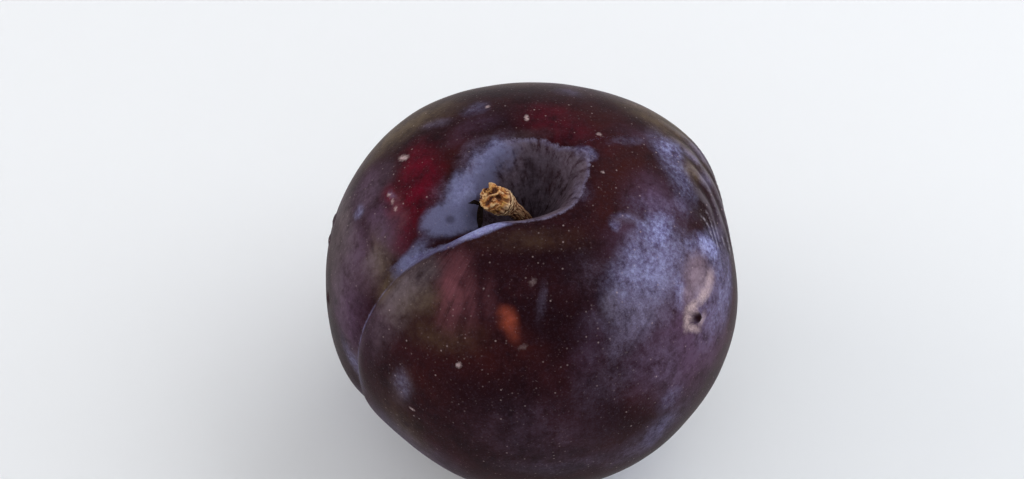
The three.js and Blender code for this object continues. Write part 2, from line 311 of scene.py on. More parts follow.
        "scar, hole": (63.3, 57.2, 0.95, 0.75, -45, 0.5, 1),
        "spot in the hollow": (28.6, -65.7, 0.7, 0.6, 58, 0.6, 0.5),
        "cavity wall, left": (9.6, -174.7, 1.5, 0.6, 114, 0.9, 0.6),
        "cavity wall, middle": (8.6, 145, 2, 0.8, -84, 0.9, 0.5),
        "cavity wall, fleck": (9, -160.7, 0.45, 0.4, 162, 0.8, 0.6),
        "cavity wall, right": (11.1, 100.5, 1.6, 0.7, -68, 0.9, 0.35),
        "crease": (55, 37.5, 3.4, 0.22, 27, 0.9, 0.35),
        "crease, upper": (49.8, 36, 1.9, 0.2, 25, 0.9, 0.3),
        "slit on the left": (51.5, -73.3, 1.2, 0.28, 170, 0.8, 0.5),
    },
}

# The marks that are painted on the mesh. The others are small, so the material draws them.
PAINTED = (
    "shade", "red_brown", "olive", "purple", "crimson", "pink", "orange",
    "haze", "sheet", "bloom_and_sheen", "dusk", "scar", "wrinkles",
)

# The edge of the wax in the cavity: azimuths, and the polar angle that it reaches to there.
CAVITY_EDGE = (
    (-180, 14.6), (-165, 14.8), (-139, 16), (-110, 20), (-75, 24), (-45, 20),
    (-32, 17.8), (0, 16.2), (32, 16.0), (57, 15.8), (80, 15.4), (98, 16.7),
    (112, 17.5), (121, 18.6), (131, 16), (146, 14.1), (166, 14.4), (180, 14.6),
)

# Small hollows, each with a low rim: polar angle, azimuth, radius in mm, depth in mm.
DENTS = {
    "scar, hole": (63.3, 57.2, 1.0, 0.9),
    "left edge, high": (73, -100, 0.9, 0.22),
    "left edge": (76, -95, 0.8, 0.2),
    "left edge, low": (83, -80, 0.8, 0.22),
}

# The polar angles and the azimuths where the folds of dried skin begin, are full, start to fade and
# end; and their height in mm.
FOLDS_DOWN = (47, 53, 68, 84)
FOLDS_ROUND = (84, 96, 118, 136)
FOLD_HEIGHT = 0.15
# The size and the height in mm of the ripples all over the skin.
RIPPLES = ((11.0, 0.16), (4.0, 0.035))
# How much closer together the fruit's faces are near its ends, and beside the suture.
END_CROWDING = 0.2
SUTURE_CROWDING = 0.3

# The polar angles over which the suture starts and then deepens; how far from the blossom end it
# ends; and the cosines of the angle from its own side of the fruit over which it fades.
SUTURE_STARTS = (3, 17)
SUTURE_DEEPENS = (8, 33)
SUTURE_ENDS = (0, 14)
SUTURE_SIDE = (-0.14, 0.57)

# The stalk's foot, bend and tip, upright and from the fruit's middle, in mm; shares of its length
# with its radius there in mm; the shares where its rings of bark begin, are full, start to fade and
# end; and the shares over which it swells, and over which its wood is torn.
STALK_POINTS = ((-0.85, -1.1, 17.2), (-1.9, -2.0, 22.4), (-6.8, -2.6, 26.5))
STALK_OUTLINE = (
    (0.0, 0.0), (0.0, 0.85), (0.03, 1.1), (0.15, 1.15), (0.42, 1.1), (0.52, 1.15),
    (0.6, 1.3), (0.67, 1.65), (0.73, 1.9), (0.78, 2.0), (0.84, 1.92), (0.91, 1.88),
    (0.97, 1.8), (1.0, 1.45), (0.985, 0.7), (0.97, 0.0),
)
STALK_COLLAR = (0.5, 0.58, 0.74, 0.8)
STALK_SWELLS = (0.5, 0.62)
STALK_TORN = (0.82, 0.94)
# Faces round each piece, and from end to end.
STALK_FACES = (128, 220)
SCALE_FACES = (48, 64)

# Each dried scale: its root and its point in mm, its width and its thickness.
SCALES = {
    "bud_scale": ((-7.75, -3.2, 25.2), (-7.8, -7.5, 24.0), 0.95, 0.4),
    "broken_scale": ((-7.7, -3.3, 25.1), (-9.6, -3.2, 25.3), 0.65, 0.45),
}

# The floor, in metres: a flat disc of this radius bends up in steps into a wall of this height.
FLOOR_FACES = 128
FLOOR_FLAT = 1.0
FLOOR_BEND = 0.4
FLOOR_STEPS = 12
FLOOR_WALL = 0.9

# Each lamp: azimuth, elevation, distance and size in metres, and colour.
LAMPS = {
    "key_light": (114, 28, 1.0, 1.5, (0.96, 0.98, 1.0)),
    "fill_light": (-95, 25, 0.9, 0.6, (1.0, 0.93, 0.85)),
}


def length(name, description, default_mm):
    kind = {"subtype": "DISTANCE", "precision": 5}
    return FloatProperty(name=name, description=description, default=default_mm * MM, **kind)


def angle(name, description, default_degrees):
    default = radians(default_degrees)
    return FloatProperty(name=name, description=description, default=default, subtype="ANGLE")


def colour(name, description, default):
    kind = {"size": 3, "subtype": "COLOR", "min": 0.0, "max": 1.0}
    return FloatVectorProperty(name=name, description=description, default=default, **kind)


def plain(name, description, default):
    return FloatProperty(name=name, description=description, default=default)


class FruitShape(PropertyGroup):
    """The fruit's sizes."""

    half_width: length("Half width", "From the axis to a cheek", 31.6)
    half_height: length("Half height", "From the middle to either end, before the cavity", 28.8)
    squareness: plain("Squareness", "2 is an ellipse", 2.25)
    lean: angle("Lean", "How far the axis leans to the front", 4)
    rest_depth: length("Rest depth", "What the flat resting spot takes off the bottom", 0.55)
    cavity_depth: length("Cavity depth", "Depth of the stem cavity", 11)
    cavity_radius: length("Cavity radius", "Where the funnel is down to a third of its depth", 5.1)
    cavity_steepness: plain("Cavity steepness", "Of the funnel's wall", 2.8)
    cavity_stretch: plain("Cavity stretch", "Towards the suture", 1.5)
    seat_place: FloatVectorProperty(
        name="Seat",
        description="Middle of the pit under the stalk",
        default=(-0.0006, -0.0009),
        size=2,
    )
    seat_depth: length("Seat depth", "Depth of the pit under the stalk", 1.7)
    seat_radius: length("Seat radius", "Radius of the pit under the stalk", 3.2)
    suture_azimuth: angle("Suture azimuth", "Which side the suture runs down", -58.5)
    suture_depth: length("Suture depth", "Down the side of the fruit", 0.75)
    valley_depth: length("Valley depth", "More, where the suture runs into the cavity", 7.5)
    valley_reach: angle("Valley reach", "Over which the valley fades", 32)
    valley_turn: angle("Valley turn", "How far the valley turns as it enters the cavity", 12.5)
    steep_bank: length("Steep bank", "Width of the front cheek's bank", 1.3)
    gentle_bank: length("Gentle bank", "Width of the left cheek's bank", 2)
    valley_bank: length("Valley bank", "More of the gentle bank, beside the cavity", 7.5)
    dimple_depth: length("Dimple depth", "Depth of the blossom end's dimple", 1)
    dimple_radius: length("Dimple radius", "Radius of the blossom end's dimple", 3.2)
    segments: IntProperty(name="Segments", description="Faces round the fruit", default=380, min=24)
    rings: IntProperty(name="Rings", description="Faces from end to end", default=256, min=16)


class SkinLook(PropertyGroup):
    """The fruit's colours."""

    # Also laid by the shade marks, and as painted shade in the troughs of the folds and the
    # wrinkles, in the scar's hole and along the creases.
    dark: colour("Ripe ground", "The darkest ripe skin", (0.012, 0.003, 0.0045))
    maroon: colour("Maroon ground", "Ripe skin where it is redder", (0.033, 0.008, 0.01))
    red_brown: colour("Red brown", "Skin beside the cavity", (0.034, 0.0065, 0.006))
    # Also laid as painted reflection on the rims and as painted sheen beside the suture.
    olive: colour("Olive", "Skin that ripened last", (0.095, 0.062, 0.036))
    purple: colour("Purple", "Skin with a thin haze of wax", (0.082, 0.042, 0.078))
    crimson: colour("Crimson", "Bright red skin", (0.105, 0.003, 0.012))
    pink: colour("Pink", "Pale streaks on the front cheek", (0.15, 0.05, 0.062))
    orange: colour("Orange", "The small unripe spot", (0.28, 0.056, 0.031))
    # Partly thin wax, partly painted sheen and reflection of the warm light from the left.
    dusk: colour("Dusk", "Thin rosy wax", (0.19, 0.15, 0.165))
    lining: colour("Lining", "Wax on the cavity's wall", (0.18, 0.14, 0.185))
    # Also laid as painted sheen of the key light on the right and painted reflection on the rims.
    haze: colour("Haze", "Thin grey wax", (0.18, 0.155, 0.25))
    violet: colour("Violet", "Thin blue wax", (0.16, 0.14, 0.32))
    sheet: colour("Sheet", "Even wax in the hollow beside the cavity", (0.135, 0.135, 0.24))
    # Laid as painted highlight on the crests of the folds and the wrinkles.
    dried: colour("Dried", "Folds of dried skin", (0.33, 0.29, 0.34))
    scar: colour("Scar", "Thin healed skin", (0.33, 0.24, 0.3))
    # Thick wax, and painted sheen and reflection on the right.
    bloom_and_sheen: colour("Bloom", "Thick blue wax", (0.3, 0.32, 0.55))
    cork: colour("Cork", "Healed scars and lenticels", (0.56, 0.42, 0.42))


class StalkShape(PropertyGroup):
    """The stalk's sizes."""

    bark: colour("Bark", "The shaft's dry bark", (0.46, 0.27, 0.15))
    wood: colour("Wood", "Torn wood at the swollen end", (0.4, 0.13, 0.03))
    gold: colour("Gold", "Fresher torn wood", (0.6, 0.32, 0.09))
    # Laid on a pale band, and as painted highlight on the raised places.
    splinter: colour("Splinters", "Pale ridges of the torn end", (0.78, 0.56, 0.33))
    shadowed: colour("Shadowed wood", "Redder wood beside the cracks", (0.24, 0.07, 0.02))
    # Laid as painted shade down the cracks, and as fine dark specks.
    crevice: colour("Crevices", "Cracks in the bark and the wood", (0.045, 0.01, 0.004))
    scale: colour("Bud scales", "The dried scales below the swollen end", (0.004, 0.0018, 0.0014))
    roughness: length("Roughness", "Height of the torn end's lumps", 0.22)


class StageLook(PropertyGroup):
    """The floor, the lamps and the camera."""

    floor_colour: colour("Floor", "Colour of the floor", (0.86, 0.87, 0.885))
    world_colour: colour("World", "Light from all round", (0.6, 0.605, 0.615))
    key_power: plain("Key", "Watts of the large lamp on the right", 11.5)
    fill_power: plain("Fill", "Watts of the lamp on the left", 2.0)
    elevation: angle("Elevation", "How far the camera looks down", 51)
    distance: length("Distance", "From the camera to the fruit's middle", 377)
    focal_length: plain("Focal length", "Millimetres", 85.0)
    sensor_width: plain("Sensor width", "Millimetres", 36.0)
    clip_start: length("Clip start", "How near the camera can see", 10)
    pan: angle("Pan", "How far the camera turns left of the fruit's middle", 0.498)
    tilt: angle("Tilt", "How far the camera turns up from the fruit's middle", 1.078)


# ---- The fruit's shape ----


def directions(polar, azimuth):
    """Unit vectors from the fruit's middle, upright."""
    out = np.sin(polar)
    return np.stack([out * np.sin(azimuth), -out * np.cos(azimuth), np.cos(polar)], axis=-1)


def smoothstep(value, low, high):
    t = np.clip((value - low) / (high - low), 0.0, 1.0)
    return t * t * (3.0 - 2.0 * t)


def within(value, begin, full, fade, end):
    """1 inside a range and 0 outside it, with soft ends."""
    return smoothstep(value, begin, full) * (1 - smoothstep(value, fade, end))


def angle_from(outward, polar, azimuth):
    """The angle in radians between each direction and a place given in degrees."""
    middle = directions(radians(polar), radians(azimuth))
    return np.arccos(np.clip(outward @ middle, -1.0, 1.0))


def body_reach(shape, outward, polar):
    """How far the smooth body reaches from the fruit's middle, in metres."""
    power = shape.squareness
    sides = np.abs(np.sin(polar) / shape.half_width) ** power
    ends = np.abs(np.cos(polar) / shape.half_height) ** power
    reach = (sides + ends) ** (-1.0 / power)
    for at_polar, at_azimuth, height, spread in SWELLINGS.values():
        away = np.degrees(angle_from(outward, at_polar, at_azimuth))
        reach = reach + height * MM * np.exp(-((away / spread) ** 2))
    return reach


def valley_turn(shape, polar):
    """How far the bottom of the suture is turned from its azimuth."""
    return shape.valley_turn * np.exp(-((np.degrees(polar) / 30.0) ** 3))


def across_suture(shape, points, polar, azimuth):
    """Distance from the suture's bottom, above 0 on the front cheek, and the angle from it."""
    turned = azimuth - shape.suture_azimuth - valley_turn(shape, polar)
    around = np.arctan2(np.sin(turned), np.cos(turned))
    return np.hypot(points[..., 0], points[..., 1]) * around, around


def suture_sink(shape, across, around, polar):
    """How far the suture sinks in, in metres."""
    from_stalk = np.degrees(polar)
    valley = np.exp(-((polar / shape.valley_reach) ** 2))
    groove = shape.suture_depth * smoothstep(from_stalk, *SUTURE_DEEPENS)
    depth = shape.valley_depth * valley + groove
    depth = depth * smoothstep(from_stalk, *SUTURE_STARTS)
    depth = depth * smoothstep(180 - from_stalk, *SUTURE_ENDS)
    gentle = shape.valley_bank * valley + shape.gentle_bank
    left = np.exp(-((np.maximum(-across, 0.0) / gentle) ** 1.25))
    front = np.exp(-((np.maximum(across, 0.0) / shape.steep_bank) ** 1.8))
    return depth * np.where(across < 0, left, front) * smoothstep(np.cos(around), *SUTURE_SIDE)


def ends_sink(shape, points, polar):
    """How far the cavity, its seat and the blossom end's dimple move a point along the axis."""
    x, y = points[..., 0], points[..., 1]
    east = cos(shape.suture_azimuth)
    north = sin(shape.suture_azimuth)
    along = x * north - y * east
    across = x * east + y * north
    drawn = np.where(along > 0, along / shape.cavity_stretch, along)
    funnel = np.exp(-((np.hypot(drawn, across) / shape.cavity_radius) ** shape.cavity_steepness))
    beside = np.hypot(x - shape.seat_place[0], y - shape.seat_place[1])
    seat = np.exp(-((beside / shape.seat_radius) ** 4))
    dimple = np.exp(-((np.hypot(x, y) / shape.dimple_radius) ** 2))
    from_stalk = np.degrees(polar)
    top = shape.cavity_depth * funnel + shape.seat_depth * seat
    top = top * smoothstep(90 - from_stalk, 0, 30)
    return shape.dimple_depth * dimple * smoothstep(from_stalk, 90, 120) - top


def skin_points(shape, polar, azimuth):
    """Upright places on the skin from the fruit's middle, and their distance across the suture."""
    outward = directions(polar, azimuth)
    points = outward * body_reach(shape, outward, polar)[..., None]
    across, around = across_suture(shape, points, polar, azimuth)
    sunk = points - outward * suture_sink(shape, across, around, polar)[..., None]
    sunk[..., 2] += ends_sink(shape, sunk, polar)
    return sunk, across


def fruit_middle(shape):
    """The fruit's middle in the part's frame, worked out from the CAD fruit's box."""
    polar, azimuth = np.meshgrid(np.linspace(0.01, pi - 0.01, 180), np.linspace(-pi, pi, 240))
    points = leaned(shape, Vector(), skin_points(shape, polar, azimuth)[0])
    low = points.min(axis=(0, 1))
    high = points.max(axis=(0, 1))
    box_low, box_high = (np.array(corner) for corner in FRUIT_BOX)
    middle = (box_low + box_high) / 2 - (low + high) / 2
    middle[2] = box_low[2] - low[2] - shape.rest_depth
    return Vector(middle)


def leaned(shape, middle, upright):
    """Upright points from the fruit's middle, in the part's frame."""
    return upright @ np.array(Matrix.Rotation(shape.lean, 3, "X")).T + np.array(middle)


def mark_frame(shape, polar_degrees, azimuth_degrees, turn):
    """A mark's middle on the skin in mm, and the directions along, across and out of the skin."""
    polar, azimuth = radians(polar_degrees), radians(azimuth_degrees)
    step = 0.01
    around = step / max(sin(polar), 0.1)

    def at(polar_at, azimuth_at):
        return skin_points(shape, np.array([polar_at]), np.array([azimuth_at]))[0][0] / MM

    east = at(polar, azimuth + around) - at(polar, azimuth - around)
    upwards = at(polar - step, azimuth) - at(polar + step, azimuth)
    outward = np.cross(east, upwards)
    outward /= np.linalg.norm(outward)
    east /= np.linalg.norm(east)
    upwards = np.cross(outward, east)
    outward = Vector(outward)
    along = Vector(east) * cos(radians(turn)) + Vector(upwards) * sin(radians(turn))
    return Vector(at(polar, azimuth)), along, outward.cross(along), outward


# ---- Modelling ----


def painted(shape, places, marks):
    """How strongly marks cover places on the skin, given in mm."""
    cover = np.zeros(len(places))
    for polar, azimuth, half_length, half_width, turn, softness, strength in marks.values():
        middle, along, across, outward = mark_frame(shape, polar, azimuth, turn)
        axes = np.array([along / half_length, across / half_width, outward / PAINTED_DEPTH])
        away = np.linalg.norm((places - np.array(middle)) @ axes.T, axis=1)
        reach = 1 - smoothstep(away, max(1 - softness, 0.0), 1 + softness)
        cover = np.maximum(cover, strength * reach)
    return cover


def wandered(places, size, reach):
    """Places in mm moved a little by smooth noise, so that the edges painted there wander."""
    noise.seed_set(WANDER_SEED)
    moves = [noise.noise_vector(Vector(place) / size) for place in places]
    return places + reach * np.array(moves)


def start_sphere(name, segments, rings, radius):
    """A new sphere at the origin, which a piece is shaped from."""
    bpy.ops.object.select_all(action="DESELECT")
    bpy.ops.mesh.primitive_uv_sphere_add(segments=segments, ring_count=rings, radius=radius)
    piece = bpy.context.object
    piece.name = name
    piece.data.name = name
    return piece


def read_points(piece, layer="co"):
    points = np.empty(3 * len(piece.data.vertices))
    piece.data.vertices.foreach_get(layer, points)
    return points.reshape(-1, 3)


def write_points(piece, points):
    piece.data.vertices.foreach_set("co", np.ascontiguousarray(points).ravel())
    piece.data.update()


def keep_values(piece, name, values):
    """A number at each vertex, which the piece's material reads."""
    layer = piece.data.attributes.new(name=name, type="FLOAT", domain="POINT")
    layer.data.foreach_set("value", np.ascontiguousarray(values, dtype=np.float32))


def sphere_angles(points):
    """Each point's share of the way down from the top pole, and its turn round the axis."""
    down = np.arccos(np.clip(points[:, 2] / np.linalg.norm(points, axis=1), -1.0, 1.0)) / pi
    return down, np.arctan2(points[:, 0], -points[:, 1])


def unevenness(points, size, height):
    """Smooth lumps of a size in mm, in metres."""
    lumps = [noise.noise(Vector(point) / size) for point in points / MM]
    return np.array(lumps) * height * MM


def fold_phase(upright, polar, azimuth):
    """A count across the folds of dried skin, which run down towards the front."""
    count = 0.7 * np.degrees(polar) + 0.6 * np.degrees(azimuth)
    return count + unevenness(upright, 5.0, 2.6) / MM


def shrivel(shape, phase, polar, azimuth):
    """How far the folds of dried skin and the dents sink in, and where the folds are."""
    dried = within(np.degrees(azimuth), *FOLDS_ROUND) * within(np.degrees(polar), *FOLDS_DOWN)
    sink = -FOLD_HEIGHT * dried * np.cos(phase)
    outward = directions(polar, azimuth)
    for at_polar, at_azimuth, radius, depth in DENTS.values():
        away = angle_from(outward, at_polar, at_azimuth) * shape.half_width / MM / radius
        rim = 0.25 * depth * np.exp(-(((away - 1.5) / 0.45) ** 2))
        sink = sink - depth * np.exp(-(away**4)) + rim
    return sink * MM, dried


class PLUM_OT_fruit(Operator):
    """Model the fruit and give it its skin"""

    bl_idname = "plum.fruit"
    bl_label = "Fruit"

    def execute(self, context):
        shape = context.scene.plum_fruit
        piece = start_sphere("plum_fruit", shape.segments, shape.rings, shape.half_width)
        down, turn = sphere_angles(read_points(piece))
        polar = pi * down - END_CROWDING * np.sin(2 * pi * down)
        turned = valley_turn(shape, polar) * (1 + np.cos(turn)) / 2
        azimuth = shape.suture_azimuth + turned + turn - SUTURE_CROWDING * np.sin(turn)
        azimuth = np.arctan2(np.sin(azimuth), np.cos(azimuth))
        upright, across = skin_points(shape, polar, azimuth)
        middle = fruit_middle(shape)
        phase = fold_phase(upright, polar, azimuth)
        sink, dried = shrivel(shape, phase, polar, azimuth)
        relief = -sink + sum(unevenness(upright, *ripple) for ripple in RIPPLES)
        upright += directions(polar, azimuth) * relief[:, None]
        placed = leaned(shape, middle, upright)
        placed[:, 2] = np.maximum(placed[:, 2], FRUIT_BOX[0][2])
        write_points(piece, placed)
        places = upright / MM
        for wander in WANDERS:
            places = wandered(places, *wander)
        edge = np.interp(np.degrees(azimuth), *zip(*CAVITY_EDGE))
        values = {
            "polar": np.degrees(polar),
            "across": across / MM,
            "coat": (edge - np.degrees(polar)) * 0.5,
            "fold_phase": phase,
            "folds": dried,
        }
        for name in PAINTED:
            values[name] = painted(shape, places, MARKS[name])
        for name, value in values.items():
            keep_values(piece, name, value)
        bpy.ops.object.shade_smooth()
        piece.data.materials.append(skin_material(shape, context.scene.plum_skin, middle))
        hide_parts("fruit")
        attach(piece, "root")
        return {"FINISHED"}


def stalk_line(share):
    """Points on the stalk's middle line at shares of its length, and the directions along it."""
    base, bend, tip = (np.array(point) for point in STALK_POINTS)
    steps = np.linspace(0.0, 1.0, 200)[:, None]
    line = (1 - steps) ** 2 * base + 2 * steps * (1 - steps) * bend + steps**2 * tip
    lengths = np.concatenate([[0.0], np.cumsum(np.linalg.norm(np.diff(line, axis=0), axis=1))])
    at = np.interp(share, lengths / lengths[-1], steps[:, 0])[..., None]
    points = (1 - at) ** 2 * base + 2 * at * (1 - at) * bend + at**2 * tip
    along = 2 * (1 - at) * (bend - base) + 2 * at * (tip - bend)
    return points, along / np.linalg.norm(along, axis=-1, keepdims=True), lengths[-1]


def cell_gap(point, size):
    """How near a point is to the crack between two cells of a size in mm."""
    distances, _ = noise.voronoi(Vector(point) / size)
    return distances[1] - distances[0]


def ridge(point, size):
    """Sharp ridges of a size in mm, from -1 between them to 1."""
    return 1 - 4 * abs(noise.noise(Vector(point) / size))


def bark_relief(point, along, turn, swollen, torn, collar, lumps):
    """The height in mm of one place on the stalk, and how far it is down a crack."""
    point = Vector(point)
    straight = Vector((along, cos(turn) * 1.8, sin(turn) * 1.8))
    fine = noise.fractal(point * 2.0, 0.9, 2.0, 4)
    lump = noise.noise(point / 1.5)
    fibre = ridge((straight.x * 0.3 + 0.6 * lump, straight.y, straight.z), 0.6)
    fold = ridge(point + 0.5 * Vector((fine, lump, fine)), 1.5)
    long_gap = cell_gap((straight.x * 0.22, straight.y + 0.2 * fine, straight.z), 0.6)
    shaft_crack = 1 - smoothstep(long_gap, 0.0, 0.25)
    step = (straight.x + 0.5 * lump + 0.1 * fine) / 0.6
    step = (step - floor(step)) * collar
    ring_crack = collar * (1 - smoothstep(step, 0.1, 0.5))
    fold_crack = smoothstep(-fold, -0.5, 0.6)
    fibre_crack = 0.7 * smoothstep(-fibre, 0.1, 0.7)
    shaft = 0.06 * fibre - 0.1 * shaft_crack + 0.06 * fine
    side = 0.3 * fibre + 0.6 * lump + 0.35 * fine + 1.0 * step
    end = 1.1 * fold + 0.7 * fine + 0.4 * fibre
    bumpy = (side * (1 - torn) + end * torn) * lumps
    side_crack = max(ring_crack, fibre_crack * (1 - collar))
    crack = shaft_crack * (1 - swollen)
    crack += (side_crack * (1 - torn) + fold_crack * torn) * swollen
    return shaft * (1 - swollen) + bumpy * swollen, crack


class PLUM_OT_stalk(Operator):
    """Model the stalk with its cracked bark and torn end"""

    bl_idname = "plum.stalk"
    bl_label = "Stalk"

    def execute(self, context):
        shape = context.scene.plum_fruit
        look = context.scene.plum_stalk
        piece = start_sphere("plum_stalk", *STALK_FACES, 2 * MM)
        down, turn = sphere_angles(read_points(piece))
        shares, radii = (np.array(column) for column in zip(*STALK_OUTLINE))
        total = stalk_line(np.array([0.0]))[2]
        steps = np.hypot(np.diff(shares) * total, np.diff(radii))
        walked = np.concatenate([[0.0], np.cumsum(steps)])
        share_at = np.interp(down, walked / walked[-1], shares)
        radius_at = np.interp(down, walked / walked[-1], radii)
        middle_at, along, _ = stalk_line(share_at)
        first = np.cross([0.0, 1.0, 0.0], along)
        first /= np.linalg.norm(first, axis=1, keepdims=True)
        second = np.cross(first, along)
        spoke = np.cos(turn)[:, None] * first + np.sin(turn)[:, None] * second
        smooth = middle_at + spoke * radius_at[:, None]
        write_points(piece, smooth * MM)
        outward = read_points(piece, "normal")

        swollen = smoothstep(share_at, *STALK_SWELLS)
        torn = smoothstep(share_at, *STALK_TORN)
        collar = within(share_at, *STALK_COLLAR)
        lumps = look.roughness / MM
        places = zip(smooth, share_at * total, turn, swollen, torn, collar)
        relief, cracked = np.array([bark_relief(*place, lumps) for place in places]).T
        rough = smooth + outward * relief[:, None]
        write_points(piece, leaned(shape, fruit_middle(shape), rough * MM))
        keep_values(piece, "crack", cracked)
        keep_values(piece, "height", relief)
        keep_values(piece, "along", share_at)
        bpy.ops.object.shade_smooth()
        piece.data.materials.append(bark_material(look))
        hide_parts("stalk")
        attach(piece, "root")
        return {"FINISHED"}


class PLUM_OT_scales(Operator):
    """Model the dried bud scales below the stalk's swollen end"""

    bl_idname = "plum.scales"
    bl_label = "Bud scales"

    def execute(self, context):
        shape = context.scene.plum_fruit
        material = scale_material(context.scene.plum_stalk)
        for name, (root, point, width, thickness) in SCALES.items():
            piece = start_sphere(name, *SCALE_FACES, 0.5 * MM)
            down, turn = sphere_angles(read_points(piece))
            round_at = np.sin(pi * down) ** 0.4
            taper = 1 - 0.5 * smoothstep(down, 0.6, 1.0)
            root, point = np.array(root), np.array(point)
            along = (point - root) / np.linalg.norm(point - root)
            side = np.cross(along, [0.0, 0.0, 1.0])
            side /= np.linalg.norm(side)
            over = np.cross(side, along)
            cupped = 0.25 * np.cos(turn) ** 2 * round_at * taper
            lifted = np.sin(pi * down) * 0.3
            sideways = np.cos(turn) * round_at * taper * width / 2
            upwards = np.sin(turn) * round_at * taper * thickness / 2 + cupped + lifted
            points = root + (point - root) * down[:, None]
            points += side * sideways[:, None]
            points += over * upwards[:, None]
            points += (unevenness(points * MM, 0.5, 0.2) / MM)[:, None] * over
            write_points(piece, leaned(shape, fruit_middle(shape), points * MM))
            bpy.ops.object.mode_set(mode="EDIT")
            bpy.ops.mesh.select_all(action="SELECT")
            bpy.ops.mesh.normals_make_consistent(inside=False)
            bpy.ops.object.mode_set(mode="OBJECT")
            bpy.ops.object.shade_smooth()
            piece.data.materials.append(material)
            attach(piece, "root")
        return {"FINISHED"}


# ---- Materials ----


class Number:
    """One number of a shader, which Python's operators work on."""

    def __init__(self, shader, socket):
        self.shader = shader
        self.socket = socket

    def __add__(self, other):
        return self.shader.math("ADD", self, other)

    def __sub__(self, other):
        return self.shader.math("SUBTRACT", self, other)

    def __rsub__(self, other):
        return self.shader.math("SUBTRACT", other, self)

    def __mul__(self, other):
        return self.shader.math("MULTIPLY", self, other)

    def __pow__(self, other):
        return self.shader.math("POWER", self, other)

    __radd__ = __add__
    __rmul__ = __mul__


def rgba(colour):
    """A socket as it is, or a colour with its alpha."""
    return colour if isinstance(colour, bpy.types.NodeSocket) else (*colour, 1.0)


class Shader:
    """The nodes of one material, and the colour that its coats have made so far."""

    def __init__(self, name, ground):
        self.colour = ground
        self.material = bpy.data.materials.new(name)
        self.material.use_nodes = True
        self.tree = self.material.node_tree
        self.tree.nodes.clear()

    def add(self, kind, settings=None, inputs=None):
        """A node with its settings, and values or links for its sockets."""
        node = self.tree.nodes.new("ShaderNode" + kind)
        for name, value in (settings or {}).items():
            setattr(node, name, value)
        for name, value in (inputs or {}).items():
            source = value.socket if isinstance(value, Number) else value
            if isinstance(source, bpy.types.NodeSocket):
                self.tree.links.new(source, node.inputs[name])
            else:
                node.inputs[name].default_value = source
        return node

    def number(self, kind, settings=None, inputs=None, output=0):
        """One output of a new node, to work with."""
        return Number(self, self.add(kind, settings, inputs).outputs[output])

    def math(self, operation, *values):
        return self.number("Math", {"operation": operation}, dict(enumerate(values)))

    def highest(self, *values):
        """The highest of several numbers."""
        return reduce(partial(self.math, "MAXIMUM"), values)

    def vector(self, operation, *values):
        inputs = dict(enumerate(values))
        return self.add("VectorMath", {"operation": operation}, inputs).outputs[0]

    def length(self, place):
        return self.number("VectorMath", {"operation": "LENGTH"}, {0: place}, "Value")

    def object_place(self):
        return self.add("TexCoord").outputs["Object"]

    def painted(self, name):
        return self.number("Attribute", {"attribute_name": name}, None, "Fac")

    def smooth(self, value, low, high):
        """0 where the value is below low and 1 where it is above high, or the other way round."""
        inputs = {0: value, 1: low, 2: high, 3: 0.0, 4: 1.0}
        if low > high:
            inputs.update({1: high, 2: low, 3: 1.0, 4: 0.0})
        return self.number("MapRange", {"interpolation_type": "SMOOTHSTEP"}, inputs)

    def tint(self, amount, under, over):
        """One colour laid over another."""
        settings = {"data_type": "RGBA", "clamp_factor": True}
        inputs = {0: amount, 6: rgba(under), 7: rgba(over)}
        return self.add("Mix", settings, inputs).outputs[2]

    def coat(self, amount, colour):
        """One more coat over the colour so far."""
        self.colour = self.tint(amount, self.colour, colour)

    def noise(self, place, scale, detail=2.0, roughness=0.5):
        inputs = {"Vector": place, "Scale": scale, "Detail": detail, "Roughness": roughness}
        return self.add("TexNoise", None, inputs)

    def grain(self, place, scale, detail=2.0, roughness=0.5):
        return Number(self, self.noise(place, scale, detail, roughness).outputs[0])

    def shaken(self, place, size, reach):
        """A place moved a little, by smooth noise of a size, so that edges drawn with it wander."""
        moves = self.noise(place, 1.0 / size, 1.0).outputs[1]
        moves = self.vector("MULTIPLY_ADD", moves, (2 * reach,) * 3, (-reach,) * 3)
        return self.vector("ADD", place, moves)

    def mapping(self, place, location, rotation, scale):
        """The place seen from a frame of its own."""
        inputs = {"Vector": place, "Location": location, "Rotation": rotation, "Scale": scale}
        return self.add("Mapping", {"vector_type": "TEXTURE"}, inputs).outputs[0]

    def finish(self, roughness, specular, relief=None):
        """The material, with the colour so far and relief in mm."""
        surface = {"Base Color": rgba(self.colour), "Roughness": roughness}
        surface["Specular IOR Level"] = specular
        if relief is not None:
            bump = {"Strength": 1.0, "Distance": MM, "Height": relief}
            surface["Normal"] = self.add("Bump", None, bump).outputs[0]
        shader = self.add("BsdfPrincipled", None, surface)
        self.add("OutputMaterial", None, {"Surface": shader.outputs[0]})
        return self.material


def mark_mask(shader, shape, place, mark):
    """One mark on the skin, from 0 outside it to its strength."""
    polar, azimuth, half_length, half_width, turn, softness, strength = mark
    middle, along, across, outward = mark_frame(shape, polar, azimuth, turn)
    rotation = Matrix((along, across, outward)).transposed().to_euler()
    sizes = (half_length, half_width, max(DRAWN_DEPTH, half_length))
    local = shader.mapping(place, middle, rotation, sizes)
    return strength * shader.smooth(shader.length(local), 1 + softness, max(1 - softness, 0.0))


def marks_mask(shader, shape, place, name):
    """All marks of one colour."""
    marks = MARKS[name].values()
    return shader.highest(*(mark_mask(shader, shape, place, mark) for mark in marks))


